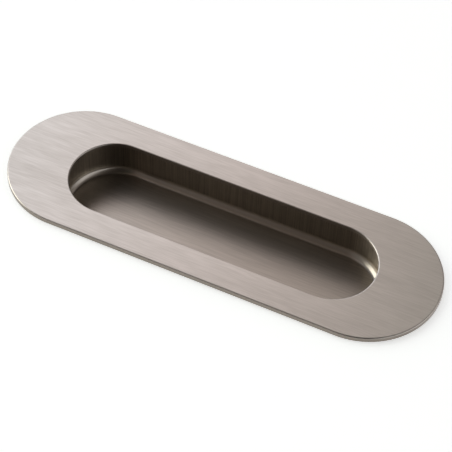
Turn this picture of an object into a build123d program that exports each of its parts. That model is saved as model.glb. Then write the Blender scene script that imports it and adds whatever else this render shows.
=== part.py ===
from build123d import *

import os

# A radius-ended flush pull: a flat face plate with a long opening, over a wider drawn finger cup.
# Millimetres. The origin is the centre of the plate's back, which lies on the door.
# +X runs along the pull, +Z points out of the door, and the cup goes down into it.

# Face plate
plate_length = 120.0
plate_width = 40.0
plate_thickness = 1.5
plate_edge_radius = 0.4
plate_back_deburr = 0.15

# Opening in the plate: the border that it leaves, and its edge, the lip that the fingers pull on
side_border = 8.1
end_border = 17.25
lip_top_radius = 0.35
lip_under_radius = 0.25

# Finger cup, drawn from sheet: wider than the opening all round, so the lip overhangs it
lip_overhang = 2.5
finger_depth = 13.4
cup_sheet = 0.8

# Sloped band round the cup's floor: its width and height inside, and the inner radius of its two bends
cup_bevel = 1.3
cup_bend_radius = 1.4

# Flange that joins the cup to the plate, and the shallow seat in the plate's back that locates it
flange_bend_radius = 0.8
flange_reach = 2.4
seat_depth = 0.25
seat_clearance = 0.15

# Outlines worked out from the sizes above, each as overall length and width
opening_length = plate_length - 2 * end_border
opening_width = plate_width - 2 * side_border
cup_inner_length = opening_length + 2 * lip_overhang
cup_inner_width = opening_width + 2 * lip_overhang
cup_outer_length = cup_inner_length + 2 * cup_sheet
cup_outer_width = cup_inner_width + 2 * cup_sheet
flange_length = cup_outer_length + 2 * flange_reach
flange_width = cup_outer_width + 2 * flange_reach
seat_length = flange_length + 2 * seat_clearance
seat_width = flange_width + 2 * seat_clearance

# Outside of the sloped band, where the sheet keeps its thickness round the two bends
outer_bevel = cup_bevel + cup_sheet * (2 - 2 ** 0.5)

# Heights: the flange lies against the floor of its seat
flange_top = seat_depth
cup_floor = plate_thickness - finger_depth
cup_base = cup_floor - cup_sheet


def level_faces(piece):
    """The piece's horizontal faces, lowest first."""
    return piece.faces().filter_by(Plane.XY).sort_by(Axis.Z)


def level_edges(piece, height):
    """The piece's edges at that height."""
    return piece.edges().filter_by_position(Axis.Z, height - 0.01, height + 0.01)


# Face plate: blank, seat cut in the back, opening cut through, then the edges eased
with BuildPart() as face_plate:
    with BuildSketch():
        SlotOverall(plate_length, plate_width)
    extrude(amount=plate_thickness)
    with BuildSketch():
        SlotOverall(seat_length, seat_width)
    extrude(amount=seat_depth, mode=Mode.SUBTRACT)
    with BuildSketch():
        SlotOverall(opening_length, opening_width)
    extrude(amount=plate_thickness, mode=Mode.SUBTRACT)
    fillet(level_faces(face_plate)[-1].outer_wire().edges(), plate_edge_radius)
    fillet(level_faces(face_plate)[-1].inner_wires()[0].edges(), lip_top_radius)
    fillet(level_faces(face_plate)[1].inner_wires()[0].edges(), lip_under_radius)
    chamfer(level_faces(face_plate)[0].outer_wire().edges(), plate_back_deburr)

# Cup: flange and pan as solid blanks, hollowed, bevelled round the floor, then every bend of the sheet rounded
with BuildPart() as cup:
    with BuildSketch(Plane.XY.offset(flange_top)):
        SlotOverall(flange_length, flange_width)
    extrude(amount=-cup_sheet)
    with BuildSketch(Plane.XY.offset(cup_base)):
        SlotOverall(cup_outer_length, cup_outer_width)
    extrude(amount=flange_top - cup_base)
    with BuildSketch(Plane.XY.offset(cup_floor)):
        SlotOverall(cup_inner_length, cup_inner_width)
    extrude(amount=flange_top - cup_floor, mode=Mode.SUBTRACT)
    chamfer(level_faces(cup)[0].outer_wire().edges(), outer_bevel)
    chamfer(level_faces(cup)[1].outer_wire().edges(), cup_bevel)
    fillet(level_edges(cup, cup_base) + level_edges(cup, cup_base + outer_bevel), cup_bend_radius + cup_sheet)
    fillet(level_edges(cup, cup_floor) + level_edges(cup, cup_floor + cup_bevel), cup_bend_radius)
    fillet(level_faces(cup)[-1].inner_wires()[0].edges(), flange_bend_radius + cup_sheet)
    fillet(level_faces(cup)[-2].inner_wires()[0].edges(), flange_bend_radius)

face_plate.part.label = "face_plate"
cup.part.label = "cup"

os.makedirs("parts", exist_ok=True)
export_step(face_plate.part, "parts/face_plate.step")
export_step(cup.part, "parts/cup.step")
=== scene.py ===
import math

import bmesh
import bpy
from bpy.props import FloatProperty, FloatVectorProperty, IntProperty, PointerProperty
from mathutils import Matrix, Vector


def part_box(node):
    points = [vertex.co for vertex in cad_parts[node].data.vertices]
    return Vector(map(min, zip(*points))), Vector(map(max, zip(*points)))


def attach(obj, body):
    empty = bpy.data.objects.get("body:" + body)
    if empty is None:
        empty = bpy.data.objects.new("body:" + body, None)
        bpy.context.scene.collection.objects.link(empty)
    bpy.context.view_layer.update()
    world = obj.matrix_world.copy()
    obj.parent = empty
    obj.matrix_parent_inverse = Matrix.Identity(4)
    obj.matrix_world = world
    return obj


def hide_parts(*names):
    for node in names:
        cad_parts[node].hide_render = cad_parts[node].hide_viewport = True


bl_info = {
    "name": "Flush Pull",
    "version": (1, 0, 0),
    "blender": (4, 5, 0),
    "location": "View3D > Sidebar > Flush Pull",
    "description": "Models a radius-ended flush pull and the small studio that it is shown in",
    "category": "Add Mesh",
}

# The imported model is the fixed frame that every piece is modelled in, in metres
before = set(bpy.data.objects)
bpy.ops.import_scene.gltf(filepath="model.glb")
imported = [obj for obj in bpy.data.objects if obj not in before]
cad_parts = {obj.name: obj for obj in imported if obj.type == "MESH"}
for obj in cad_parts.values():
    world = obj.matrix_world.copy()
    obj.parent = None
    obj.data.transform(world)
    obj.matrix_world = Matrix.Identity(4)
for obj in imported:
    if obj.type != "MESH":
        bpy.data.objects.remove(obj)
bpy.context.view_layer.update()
PLATE_LOW, PLATE_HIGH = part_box("face_plate")
CUP_LOW, CUP_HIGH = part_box("cup")

MM = 0.001
BODY = "root"

# How near a point has to be to a ring to belong to it, and two points to each other to become one
RING_TOLERANCE = 0.02 * MM
MERGE_DISTANCE = 0.001 * MM

# Flat steps across each kind of round
CHAMFER_STEPS = 1
FLANGE_EDGE_STEPS = 3
LIP_UNDER_STEPS = 4
BEND_STEPS = 5
TOP_EDGE_STEPS = 6
FLANGE_BEND_STEPS = 8

# A bend of 45 degrees starts this many times its radius away from the corner that it rounds
BEND_REACH = math.tan(math.radians(22.5))


def linear(hex_colour):
    """An sRGB hex colour as linear red, green and blue."""
    channels = [int(hex_colour[i:i + 2], 16) / 255 for i in (1, 3, 5)]
    return [c / 12.92 if c <= 0.04045 else ((c + 0.055) / 1.055) ** 2.4 for c in channels]


def to_tenth_mm(length):
    """A length of the frame to a tenth of a millimetre, because the frame draws its arcs as chords."""
    return round(length, 4)


PLATE_LENGTH = to_tenth_mm(PLATE_HIGH.x - PLATE_LOW.x)
PLATE_WIDTH = to_tenth_mm(PLATE_HIGH.y - PLATE_LOW.y)


def size(name, description, default):
    """A length that a user may change, in metres."""
    return FloatProperty(
        name=name, description=description, default=default, min=0, unit="LENGTH", precision=5
    )


def angle(name, description, degrees):
    """An angle that a user may change."""
    return FloatProperty(
        name=name, description=description, default=math.radians(degrees), subtype="ANGLE"
    )


def colour(name, description, hex_colour):
    """A colour that a user may change, given as sRGB hex."""
    return FloatVectorProperty(
        name=name, description=description, default=linear(hex_colour),
        size=3, min=0, max=1, subtype="COLOR",
    )


def radiance(name, description, default):
    """How bright a light looks from the pull. A white page that is fully lit is 1."""
    return FloatProperty(name=name, description=description, default=default, min=0)


class FlushPullSizes(bpy.types.PropertyGroup):
    """Sizes of the two pieces."""

    plate_length: size("Plate length", "Overall length of the face plate", PLATE_LENGTH)
    plate_width: size("Plate width", "Width of the plate, twice its end radius", PLATE_WIDTH)
    side_border: size("Side border", "From the plate's long edge to the opening", 8.1 * MM)
    end_border: size("End border", "From the plate's round end to the opening", 17.25 * MM)
    plate_edge_radius: size("Plate edge", "Radius of the plate's outer top edge", 0.4 * MM)
    lip_top_radius: size("Lip, top", "Radius of the opening's top edge", 0.35 * MM)
    lip_under_radius: size("Lip, under", "Radius of the opening's lower edge", 0.25 * MM)
    back_deburr: size("Back edge", "Chamfer that takes the burr off the plate's back edge", 0.15 * MM)
    seat_clearance: size("Seat clearance", "Room round the cup's flange in its seat", 0.15 * MM)
    lip_overhang: size("Lip overhang", "How far the plate's lip stands in over the cup's wall", 2.5 * MM)
    cup_sheet: size("Cup sheet", "Thickness of the sheet that the cup is drawn from", 0.8 * MM)
    cup_bevel: size("Cup bevel", "Width and height of the sloped band round the cup's floor", 1.3 * MM)
    cup_bend_radius: size("Cup bends", "Inner radius of the bends on both sides of that band", 1.4 * MM)
    flange_bend_radius: size("Flange bend", "Inner radius of the bend from the wall to the flange", 0.8 * MM)
    flange_deburr: size("Flange edge", "Rounding of the flange's cut edge", 0.12 * MM)
    arc_steps: IntProperty(
        name="Arc steps", description="Edges in each quarter of a round end", default=40, min=8
    )


class FlushPullFinish(bpy.types.PropertyGroup):
    """Colours of the finishes."""

    plate_light: colour("Plate, high lines", "Nickel on the lines that the belt left proud", "#D2C8C3")
    plate_dark: colour("Plate, low lines", "Nickel in the lines that the belt cut", "#C4BAB4")
    # The cut edge colour is a dull blanked edge and also painted shade, darker than that for the shadowed
    # floor it reflects
    cut_edge_and_shade: colour("Cut edge", "Dull nickel on the plate's blanked edge", "#90877E")
    # The cup wall colour is painted shade: the floor's nickel, made darker and browner on the wall
    cup_wall_shaded: colour("Cup wall", "Thin nickel on the drawn wall", "#B6AEA2")
    cup_floor: colour("Cup floor", "Nickel on the cup's floor", "#C4B8B0")
    floor: colour("Floor", "Pale paint on the surface that the pull is let into", "#EDEDED")


class FlushPullStage(bpy.types.PropertyGroup):
    """Camera and light."""

    camera_azimuth: angle("Azimuth", "Camera's turn round the pull", 23.58)
    camera_elevation: angle("Elevation", "Camera's height above the floor", 51.16)
    camera_roll: angle("Roll", "Camera's tilt about its own line of sight", 1.99)
    camera_distance: size("Distance", "From the camera to the centre of the plate's face", 0.4222)
    camera_lens: FloatProperty(
        name="Lens", description="Focal length on a 36 mm sensor", default=130.7, min=1, unit="CAMERA"
    )
    aim_right: size("Aim right", "How far to the right of the plate's centre the camera aims", 1.31 * MM)
    aim_below: size("Aim below", "How far below the plate's centre the camera aims", 1.90 * MM)
    key_radiance: radiance("Key", "Brightness of the softbox on the left", 2.55)
    fill_radiance: radiance("Fill", "Brightness of the softbox on the right", 0.7)
    key_colour: colour("Key colour", "Colour of the softbox on the left", "#FAFFF2")
    fill_colour: colour("Fill colour", "Colour of the softbox on the right", "#F7FFFF")
    floor_glow: radiance("Floor glow", "Share of the floor's white that needs no light on it", 0.58)


def sizes():
    return bpy.context.scene.flush_pull_sizes


def end_centre():
    """Distance from the middle to the centre of the opening's round ends, which the cup shares."""
    s = sizes()
    return s.plate_length / 2 - s.end_border - opening_radius()


def opening_radius():
    return sizes().plate_width / 2 - sizes().side_border


def cup_radius():
    return opening_radius() + sizes().lip_overhang


# Modelling


def select_edges(piece, wanted):
    """In edit mode, select only the edges whose two ends are both wanted."""
    bpy.ops.mesh.select_mode(type="EDGE")
    mesh = bmesh.from_edit_mesh(piece.data)
    for element in (*mesh.verts, *mesh.edges, *mesh.faces):
        element.select = False
    for edge in mesh.edges:
        edge.select = all(wanted(vertex.co) for vertex in edge.verts)
    if not any(edge.select for edge in mesh.edges):
        raise RuntimeError(f"{piece.name} has no edge there")
    mesh.select_flush_mode()
    bmesh.update_edit_mesh(piece.data)


def on_ring(radius, height, centre):
    """Whether a point is on the round-ended ring of that end radius, at that height."""
    def wanted(point):
        beyond = max(abs(point.x) - centre, 0)
        near = abs(math.hypot(beyond, point.y) - radius) < RING_TOLERANCE
        return near and abs(point.z - height) < RING_TOLERANCE
    return wanted


def merge_points():
    """In edit mode, join the points that lie on each other, and leave everything selected."""
    bpy.ops.mesh.select_all(action="SELECT")
    bpy.ops.mesh.remove_doubles(threshold=MERGE_DISTANCE)


def start_blank(name, length, width, height):
    """A flat face of that size: a plane whose corners are rounded until its ends are half circles."""
    bpy.ops.object.select_all(action="DESELECT")
    bpy.ops.mesh.primitive_plane_add(size=1, location=(0, 0, height))
    piece = bpy.context.object
    piece.name = name
    piece.data.name = name
    bpy.ops.transform.resize(value=(length, width, 1))
    bpy.ops.object.transform_apply(location=True, rotation=True, scale=True)
    bpy.ops.object.mode_set(mode="EDIT")
    bpy.ops.mesh.select_all(action="SELECT")
    bpy.ops.mesh.bevel(
        offset=width / 2, affect="VERTICES", segments=sizes().arc_steps, profile=0.5, clamp_overlap=False
    )
    merge_points()
    return piece


def grow_ring(piece, start, end):
    """Extrude a round-ended ring of edges into the next. A ring is (end radius, height, end centre)."""
    (radius, height, centre), (next_radius, next_height, next_centre) = start, end
    select_edges(piece, on_ring(*start))
    bpy.ops.mesh.extrude_edges_move(TRANSFORM_OT_translate={"value": (0, 0, next_height - height)})
    mesh = bmesh.from_edit_mesh(piece.data)
    moved = [vertex.index for vertex in mesh.verts if vertex.select]
    for side in (1, -1):
        mesh = bmesh.from_edit_mesh(piece.data)
        mesh.verts.ensure_lookup_table()
        bpy.ops.mesh.select_all(action="DESELECT")
        for index in moved:
            mesh.verts[index].select = mesh.verts[index].co.x * side > 0
        mesh.select_flush(True)
        bmesh.update_edit_mesh(piece.data)
        scale = next_radius / radius
        pivot = (side * centre, 0, next_height)
        bpy.ops.transform.resize(value=(scale, scale, 1), center_override=pivot)
        bpy.ops.transform.translate(value=(side * (next_centre - centre), 0, 0))


def round_ring(piece, ring, reach, steps):
    """Round the ring of edges, from that far on both sides of it. One step makes a chamfer."""
    select_edges(piece, on_ring(*ring))
    bpy.ops.mesh.bevel(
        offset=reach, offset_type="OFFSET", affect="EDGES", segments=steps, profile=0.5, clamp_overlap=False
    )


def finish_piece(piece, material, node):
    """Leave edit mode, smooth the rounds but not the flats, and stand the piece in for its CAD node."""
    bpy.ops.mesh.select_all(action="SELECT")
    bpy.ops.mesh.normals_make_consistent(inside=False)
    if not all(edge.is_manifold for edge in bmesh.from_edit_mesh(piece.data).edges):
        raise RuntimeError(f"{piece.name} isn't closed")
    bpy.ops.object.mode_set(mode="OBJECT")
    bpy.ops.object.shade_smooth()
    weighted = piece.modifiers.new("Flat faces stay flat", "WEIGHTED_NORMAL")
    weighted.weight = 100
    bpy.ops.object.modifier_apply(modifier=weighted.name)
    piece.data.materials.append(material)
    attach(piece, BODY)
    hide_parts(node)


# Materials


def add_node(tree, kind, links=None, stops=(), **settings):
    """Add a node with its colour stops and properties, and link each input or give it its value."""
    node = tree.nodes.new(kind)
    if stops:
        ramp = node.color_ramp.elements
        for element, (position, value) in zip(ramp, (stops[0], stops[-1])):
            element.position = position
            element.color = value
        for position, value in stops[1:-1]:
            ramp.new(position).color = value
    for name, value in settings.items():
        setattr(node, name, value)
    for name, source in (links or {}).items():
        if isinstance(source, bpy.types.NodeSocket):
            tree.links.new(source, node.inputs[name])
        else:
            node.inputs[name].default_value = source
    return node


def per_mm(x, y, z):
    """Scale that fits one wave of a noise into that many millimetres along each axis."""
    return (1 / (x * MM), 1 / (y * MM), 1 / (z * MM))


def grey(value):
    """A colour stop for a plain value."""
    return (value, value, value, 1)


def new_material(name):
    """An empty material, its node tree and its principled shader."""
    material = bpy.data.materials.new(name)
    material.use_nodes = True
    tree = material.node_tree
    return material, tree, tree.nodes["Principled BSDF"]


def brushed_nickel():
    """Satin nickel plate on a steel blank, brushed along its length with a fine belt.

    The eye sees fine light and dark lines along the plate, a gloss that is stretched across them, and a dull
    cut edge, which the belt doesn't reach. Its colour is darker still as painted shade, for the shadowed
    floor that the upright edges reflect; the lip's edge takes less of it than the outer edge.
    """
    material, tree, shader = new_material("satin_nickel_brushed_lengthwise")
    finish = bpy.context.scene.flush_pull_finish
    place = add_node(tree, "ShaderNodeTexCoord").outputs["Object"]
    # Belt lines: real ones are about 0.03 mm wide, drawn ten times as wide so that they show
    along_lines = add_node(
        tree, "ShaderNodeVectorMath",
        {0: place, 1: per_mm(6, 0.28, 0.28)},
        operation="MULTIPLY",
    )
    lines = add_node(
        tree, "ShaderNodeTexNoise",
        {"Vector": along_lines.outputs["Vector"], "Scale": 1.0, "Detail": 3.0},
    )
    # Passes of the belt: faint bands, each a few millimetres wide
    along_passes = add_node(
        tree, "ShaderNodeVectorMath",
        {0: place, 1: per_mm(70, 3.5, 3.5)},
        operation="MULTIPLY",
    )
    passes = add_node(
        tree, "ShaderNodeTexNoise",
        {"Vector": along_passes.outputs["Vector"], "Scale": 1.0, "Detail": 1.0},
    )
    both = add_node(
        tree, "ShaderNodeMath",
        {0: passes.outputs["Fac"], 1: 0.4, 2: lines.outputs["Fac"]},
        operation="MULTIPLY_ADD",
    )
    bright = add_node(
        tree, "ShaderNodeMapRange",
        {"Value": both.outputs["Value"], "From Min": 0.45, "From Max": 0.95},
    )
    face = add_node(
        tree, "ShaderNodeMix",
        {"Factor": bright.outputs["Result"], 6: (*finish.plate_dark, 1), 7: (*finish.plate_light, 1)},
        data_type="RGBA",
    )
    # The blanked edges stand upright, and take the dull edge colour, which is partly painted shade
    normal = add_node(tree, "ShaderNodeNewGeometry").outputs["Normal"]
    upward = add_node(tree, "ShaderNodeSeparateXYZ", {0: normal})
    upright = add_node(
        tree, "ShaderNodeMapRange",
        {"Value": upward.outputs["Z"], "From Min": 0.2, "From Max": 0.6, "To Min": 1.0, "To Max": 0.0},
    )
    # The normal points away from the middle on the outer edge, and towards it on the lip, which takes less
    # of it
    outward = add_node(tree, "ShaderNodeVectorMath", {0: normal, 1: place}, operation="DOT_PRODUCT")
    dulled_and_shaded = add_node(
        tree, "ShaderNodeMapRange",
        {
            "Value": outward.outputs["Value"],
            "From Min": -1 * MM, "From Max": 1 * MM,
            "To Min": 0.65, "To Max": 1.0,
        },
    )
    cut = add_node(
        tree, "ShaderNodeMath",
        {0: upright.outputs["Result"], 1: dulled_and_shaded.outputs["Result"]},
        operation="MULTIPLY",
    )
    # Painted shade: the upright edges are darker than a dull edge alone, for the shadowed floor that they
    # reflect
    tone = add_node(
        tree, "ShaderNodeMix",
        {"Factor": cut.outputs["Value"], 6: face.outputs[2], 7: (*finish.cut_edge_and_shade, 1)},
        data_type="RGBA",
    )
    tree.links.new(tone.outputs[2], shader.inputs["Base Color"])
    satin = add_node(
        tree, "ShaderNodeMapRange",
        {"Value": bright.outputs["Result"], "To Min": 0.38, "To Max": 0.31},
    )
    tree.links.new(satin.outputs["Result"], shader.inputs["Roughness"])
    grooves = add_node(
        tree, "ShaderNodeBump",
        {"Height": lines.outputs["Fac"], "Strength": 0.25, "Distance": 0.01 * MM},
    )
    tree.links.new(grooves.outputs["Normal"], shader.inputs["Normal"])
    across_lines = add_node(tree, "ShaderNodeCombineXYZ", {"X": 0.0, "Y": 0.1, "Z": 1.0})
    tree.links.new(across_lines.outputs["Vector"], shader.inputs["Tangent"])
    shader.inputs["Metallic"].default_value = 1
    shader.inputs["Anisotropic"].default_value = 0.5
    return material


def drawn_nickel():
    """Satin nickel plate on a cup that was drawn from sheet.

    The eye sees fine upright lines on the wall, where the sheet slid over the die, a burnished band without
    lines round the floor, which catches the lamps, and on the floor a soft lengthwise grain with its gloss
    stretched across it. The wall's colour is the floor's nickel, painted darker and browner as shade.
    """
    material, tree, shader = new_material("satin_nickel_on_drawn_cup")
    finish = bpy.context.scene.flush_pull_finish
    place = add_node(tree, "ShaderNodeTexCoord").outputs["Object"]
    normal = add_node(tree, "ShaderNodeNewGeometry").outputs["Normal"]
    upward = add_node(tree, "ShaderNodeSeparateXYZ", {0: normal})
    level = add_node(
        tree, "ShaderNodeMapRange",
        {"Value": upward.outputs["Z"], "From Min": 0.2, "From Max": 0.6},
    )
    # Die lines: real ones are under 0.05 mm wide, drawn wider so that they show
    up_wall = add_node(
        tree, "ShaderNodeVectorMath",
        {0: place, 1: per_mm(0.25, 0.25, 18)},
        operation="MULTIPLY",
    )
    die_lines = add_node(
        tree, "ShaderNodeTexNoise",
        {"Vector": up_wall.outputs["Vector"], "Scale": 1.0, "Detail": 2.0},
    )
    # Grain of the floor: real lines are as fine as the plate's, drawn wider so that they show
    along_floor = add_node(
        tree, "ShaderNodeVectorMath",
        {0: place, 1: per_mm(9, 0.4, 0.4)},
        operation="MULTIPLY",
    )
    grain = add_node(
        tree, "ShaderNodeTexNoise",
        {"Vector": along_floor.outputs["Vector"], "Scale": 1.0, "Detail": 2.0},
    )
    lines = add_node(
        tree, "ShaderNodeMix",
        {"Factor": level.outputs["Result"], 2: die_lines.outputs["Fac"], 3: grain.outputs["Fac"]},
    )
    # Painted shade: the upright wall takes a darker, browner colour than the floor, which is the same nickel
    tone = add_node(
        tree, "ShaderNodeMix",
        {"Factor": level.outputs["Result"], 6: (*finish.cup_wall_shaded, 1), 7: (*finish.cup_floor, 1)},
        data_type="RGBA",
    )
    # Tone of the darkest lines, from the wall, 0, over the band, which has no lines, to the floor, 1
    depth = add_node(
        tree, "ShaderNodeValToRGB",
        {"Fac": upward.outputs["Z"]},
        stops=[(0.0, grey(0.68)), (0.4, grey(1.0)), (0.9, grey(1.0)), (1.0, grey(0.85))],
    )
    shade = add_node(
        tree, "ShaderNodeMapRange",
        {"Value": lines.outputs[0], "From Min": 0.3, "From Max": 0.7, "To Min": depth.outputs["Color"]},
    )
    lined = add_node(
        tree, "ShaderNodeVectorMath",
        {0: tone.outputs[2], "Scale": shade.outputs["Result"]},
        operation="SCALE",
    )
    tree.links.new(lined.outputs["Vector"], shader.inputs["Base Color"])
    satin = add_node(
        tree, "ShaderNodeValToRGB",
        {"Fac": upward.outputs["Z"]},
        stops=[(0.0, grey(0.3)), (0.3, grey(0.28)), (0.9, grey(0.28)), (1.0, grey(0.34))],
    )
    tree.links.new(satin.outputs["Color"], shader.inputs["Roughness"])
    scored = add_node(
        tree, "ShaderNodeBump",
        {"Height": lines.outputs[0], "Strength": 0.25, "Distance": 0.01 * MM},
    )
    tree.links.new(scored.outputs["Normal"], shader.inputs["Normal"])
    sideways = add_node(tree, "ShaderNodeCombineXYZ", {"X": 0.1, "Y": 1.0, "Z": 0.0})
    tree.links.new(sideways.outputs["Vector"], shader.inputs["Tangent"])
    shader.inputs["Metallic"].default_value = 1
    shader.inputs["Anisotropic"].default_value = 0.6
    return material


# Pieces


class FLUSHPULL_OT_face_plate(bpy.types.Operator):
    """Model the face plate: a ring of sheet with eased edges and a seat for the cup in its back"""

    bl_idname = "flush_pull.face_plate"
    bl_label = "Face Plate"

    def execute(self, context):
        s = sizes()
        top, back, seat = PLATE_HIGH.z, PLATE_LOW.z, CUP_HIGH.z
        inner, outer = end_centre(), s.plate_length / 2 - s.plate_width / 2
        seat_radius = CUP_HIGH.y + s.seat_clearance
        lip_top = (opening_radius(), top, inner)
        rings = [
            lip_top,
            (s.plate_width / 2, top, outer),
            (s.plate_width / 2, back, outer),
            (seat_radius, back, inner),
            (seat_radius, seat, inner),
            (opening_radius(), seat, inner),
        ]
        opening_length = 2 * (inner + opening_radius())
        piece = start_blank("face_plate_shell", opening_length, 2 * opening_radius(), top)
        bpy.ops.mesh.delete(type="ONLY_FACE")
        for start, end in zip(rings, rings[1:] + [lip_top]):
            grow_ring(piece, start, end)
        merge_points()
        round_ring(piece, rings[1], s.plate_edge_radius, TOP_EDGE_STEPS)
        round_ring(piece, rings[2], s.back_deburr, CHAMFER_STEPS)
        round_ring(piece, rings[0], s.lip_top_radius, TOP_EDGE_STEPS)
        round_ring(piece, rings[5], s.lip_under_radius, LIP_UNDER_STEPS)
        finish_piece(piece, brushed_nickel(), "face_plate")
        return {"FINISHED"}


class FLUSHPULL_OT_cup(bpy.types.Operator):
    """Model the finger cup in one thickness of sheet: a floor, a sloped band, a wall and a flange"""

    bl_idname = "flush_pull.cup"
    bl_label = "Finger Cup"

    def execute(self, context):
        s = sizes()
        floor, flange, centre = CUP_LOW.z + s.cup_sheet, CUP_HIGH.z, end_centre()
        floor_ring = (cup_radius(), floor, centre)
        mouth_ring = (cup_radius(), flange, centre)
        flange_ring = (CUP_HIGH.y, flange, centre)
        piece = start_blank("cup_shell", 2 * (centre + cup_radius()), 2 * cup_radius(), floor)
        grow_ring(piece, floor_ring, mouth_ring)
        grow_ring(piece, mouth_ring, flange_ring)
        merge_points()
        round_ring(piece, floor_ring, s.cup_bevel, CHAMFER_STEPS)
        band_top = (cup_radius(), floor + s.cup_bevel, centre)
        band_foot = (cup_radius() - s.cup_bevel, floor, centre)
        for ring in (band_top, band_foot):
            round_ring(piece, ring, s.cup_bend_radius * BEND_REACH, BEND_STEPS)
        round_ring(piece, mouth_ring, s.flange_bend_radius + s.cup_sheet, FLANGE_BEND_STEPS)
        bpy.ops.mesh.select_all(action="SELECT")
        bpy.ops.mesh.normals_make_consistent(inside=False)
        bpy.ops.object.mode_set(mode="OBJECT")
        sheet = piece.modifiers.new("Sheet", "SOLIDIFY")
        sheet.thickness = s.cup_sheet
        sheet.offset = -1
        sheet.use_even_offset = True
        bpy.ops.object.modifier_apply(modifier=sheet.name)
        bpy.ops.object.mode_set(mode="EDIT")
        for edge in (flange_ring, (CUP_HIGH.y, flange - s.cup_sheet, centre)):
            round_ring(piece, edge, s.flange_deburr, FLANGE_EDGE_STEPS)
        finish_piece(piece, drawn_nickel(), "cup")
        return {"FINISHED"}


# Stage

# The room's light from the left, 0, to the right, 1
ROOM_ACROSS = (
    (0.0, (1.0, 1.08, 1.13, 1)),
    (0.312, (1.16, 1.265, 1.33, 1)),
    (0.335, (1.31, 1.31, 1.305, 1)),
    (0.378, (0.98, 0.883, 0.862, 1)),
    (0.42, (0.61, 0.555, 0.517, 1)),
    (0.455, (0.364, 0.416, 0.364, 1)),
    (0.55, (0.15, 0.145, 0.14, 1)),
    (0.65, (0.15, 0.145, 0.14, 1)),
    (0.8, (0.40, 0.385, 0.355, 1)),
)
# What that is multiplied by from the front, 0, to the back, 1
ROOM_DEPTH = (
    (0.12, (0.138, 0.133, 0.124, 1)),
    (0.25, (0.122, 0.104, 0.084, 1)),
    (0.36, (0.122, 0.104, 0.084, 1)),
    (0.43, (0.45, 0.44, 0.425, 1)),
    (0.6, (0.52, 0.52, 0.52, 1)),
    (0.7, (1.20, 1.20, 1.20, 1)),
    (0.75, (1.28, 1.28, 1.28, 1)),
    (0.8, (1.04, 1.04, 1.04, 1)),
    (0.9, (0.84, 0.84, 0.84, 1)),
)

# Where each softbox is, seen from the pull, and its width and height in metres
KEY_DIRECTION = Vector((-0.87, -0.15, 0.38))
KEY_SIZE = (0.72, 0.72)
FILL_DIRECTION = Vector((0.90, -0.25, 0.36))
FILL_SIZE = (1.25, 0.62)

# Radius of the floor's round ends, and the room round the cup's flange in the pocket
FLOOR_RADIUS = 4.0
POCKET_CLEARANCE = 0.4 * MM


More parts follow.
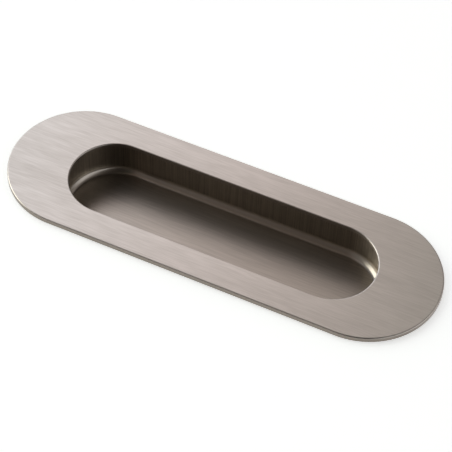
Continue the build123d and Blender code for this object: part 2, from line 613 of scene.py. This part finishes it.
class FLUSHPULL_OT_stage(bpy.types.Operator):
    """Set up the pale floor that the pull is let into, the light and the camera"""

    bl_idname = "flush_pull.stage"
    bl_label = "Stage"

    def execute(self, context):
        self.floor()
        self.light(context.scene)
        self.camera(context.scene)
        context.scene.view_settings.view_transform = "Standard"
        return {"FINISHED"}

    def floor(self):
        """A wide floor level with the plate's back, with a pocket cut through it for the cup."""
        radius, centre = CUP_HIGH.y + POCKET_CLEARANCE, end_centre()
        floor = start_blank("floor", 2 * (centre + radius), 2 * radius, PLATE_LOW.z)
        bpy.ops.mesh.delete(type="ONLY_FACE")
        grow_ring(floor, (radius, PLATE_LOW.z, centre), (FLOOR_RADIUS, PLATE_LOW.z, centre))
        bpy.ops.mesh.select_all(action="SELECT")
        bpy.ops.mesh.normals_make_consistent(inside=False)
        if bmesh.from_edit_mesh(floor.data).faces[:][0].normal.z < 0:
            bpy.ops.mesh.flip_normals()
        bpy.ops.object.mode_set(mode="OBJECT")
        floor.data.materials.append(self.paint())

    def paint(self):
        """Matt white paint that stays white round the pull's shadow, and can't be seen from below."""
        scene = bpy.context.scene
        material, tree, shader = new_material("matt_white_paint")
        shader.inputs["Base Color"].default_value = (*scene.flush_pull_finish.floor, 1)
        shader.inputs["Roughness"].default_value = 0.9
        path = add_node(tree, "ShaderNodeLightPath").outputs
        seen = add_node(
            tree, "ShaderNodeMath",
            {0: path["Is Camera Ray"], 1: path["Is Glossy Ray"]},
            operation="MAXIMUM",
        )
        shown = add_node(
            tree, "ShaderNodeMath",
            {0: seen.outputs["Value"], 1: path["Is Transmission Ray"]},
            operation="MAXIMUM",
        )
        glow = add_node(
            tree, "ShaderNodeMath",
            {0: shown.outputs["Value"], 1: scene.flush_pull_stage.floor_glow},
            operation="MULTIPLY",
        )
        shader.inputs["Emission Color"].default_value = (1, 1, 1, 1)
        tree.links.new(glow.outputs["Value"], shader.inputs["Emission Strength"])
        below = add_node(tree, "ShaderNodeNewGeometry").outputs["Backfacing"]
        clear = add_node(tree, "ShaderNodeBsdfTransparent")
        either = add_node(
            tree, "ShaderNodeMixShader",
            {0: below, 1: shader.outputs["BSDF"], 2: clear.outputs["BSDF"]},
        )
        tree.links.new(either.outputs["Shader"], tree.nodes["Material Output"].inputs["Surface"])
        return material

    def light(self, scene):
        """A softbox on each side, and a room that is light behind on the left and dim in front."""
        world = bpy.data.worlds.new("Studio")
        world.use_nodes = True
        scene.world = world
        tree = world.node_tree
        direction = add_node(tree, "ShaderNodeTexCoord").outputs["Generated"]
        half = (0.5, 0.5, 0.5)
        zero_to_one = add_node(
            tree, "ShaderNodeVectorMath",
            {0: direction, 1: half, 2: half},
            operation="MULTIPLY_ADD",
        )
        part = add_node(tree, "ShaderNodeSeparateXYZ", {0: zero_to_one.outputs["Vector"]}).outputs
        across = add_node(tree, "ShaderNodeValToRGB", {"Fac": part["X"]}, stops=ROOM_ACROSS)
        depth = add_node(tree, "ShaderNodeValToRGB", {"Fac": part["Y"]}, stops=ROOM_DEPTH)
        room = add_node(
            tree, "ShaderNodeVectorMath",
            {0: across.outputs["Color"], 1: depth.outputs["Color"]},
            operation="MULTIPLY",
        )
        tree.links.new(room.outputs["Vector"], tree.nodes["Background"].inputs["Color"])
        stage = scene.flush_pull_stage
        self.softbox("key_softbox", KEY_DIRECTION, KEY_SIZE, stage.key_radiance, stage.key_colour)
        self.softbox("fill_softbox", FILL_DIRECTION, FILL_SIZE, stage.fill_radiance, stage.fill_colour)

    def softbox(self, name, direction, extent, brightness, tint):
        """A soft lamp a metre away that faces the pull and looks that bright from there."""
        width, height = extent
        bpy.ops.object.light_add(type="AREA", location=direction.normalized())
        lamp = bpy.context.object
        lamp.name = name
        lamp.rotation_euler = direction.to_track_quat("Z", "Y").to_euler()
        lamp.data.shape = "RECTANGLE"
        lamp.data.size = width
        lamp.data.size_y = height
        lamp.data.energy = brightness * math.pi * width * height
        lamp.data.color = tint

    def camera(self, scene):
        """A long lens that looks down at the pull from in front on the right."""
        stage = scene.flush_pull_stage
        azimuth, elevation, roll = stage.camera_azimuth, stage.camera_elevation, stage.camera_roll
        centre = Vector((0, 0, PLATE_HIGH.z))
        back = Vector((
            math.sin(azimuth) * math.cos(elevation),
            -math.cos(azimuth) * math.cos(elevation),
            math.sin(elevation),
        ))
        place = centre + back * stage.camera_distance
        right = Vector((math.cos(azimuth), math.sin(azimuth), 0))
        up = back.cross(right)
        rolled_right = right * math.cos(roll) + up * math.sin(roll)
        up = up * math.cos(roll) - right * math.sin(roll)
        aim = centre + rolled_right * stage.aim_right - up * stage.aim_below
        back = (place - aim).normalized()
        right = up.cross(back).normalized()
        up = back.cross(right)
        bpy.ops.object.select_all(action="DESELECT")
        bpy.ops.object.camera_add()
        camera = bpy.context.object
        camera.matrix_world = Matrix.Translation(place) @ Matrix((right, up, back)).transposed().to_4x4()
        camera.data.lens = stage.camera_lens
        camera.data.sensor_width = 36
        camera.data.clip_start = 0.01
        scene.camera = camera


class FLUSHPULL_PT_panel(bpy.types.Panel):
    """Lists the pieces and their sizes"""

    bl_label = "Flush Pull"
    bl_idname = "FLUSHPULL_PT_panel"
    bl_space_type = "VIEW_3D"
    bl_region_type = "UI"
    bl_category = "Flush Pull"

    def draw(self, context):
        for operator in OPERATORS:
            self.layout.operator(operator.bl_idname)
        for name in GROUPS:
            group = getattr(context.scene, name)
            for key in group.__annotations__:
                self.layout.prop(group, key)


OPERATORS = (FLUSHPULL_OT_face_plate, FLUSHPULL_OT_cup, FLUSHPULL_OT_stage)
GROUPS = {
    "flush_pull_sizes": FlushPullSizes,
    "flush_pull_finish": FlushPullFinish,
    "flush_pull_stage": FlushPullStage,
}


def register():
    for cls in (*GROUPS.values(), *OPERATORS, FLUSHPULL_PT_panel):
        bpy.utils.register_class(cls)
    for name, group in GROUPS.items():
        setattr(bpy.types.Scene, name, PointerProperty(type=group))


def unregister():
    for name in GROUPS:
        delattr(bpy.types.Scene, name)
    for cls in (FLUSHPULL_PT_panel, *OPERATORS, *GROUPS.values()):
        bpy.utils.unregister_class(cls)


def main():
    register()
    bpy.ops.flush_pull.face_plate()
    bpy.ops.flush_pull.cup()
    bpy.ops.flush_pull.stage()


if __name__ == "__main__":
    main()
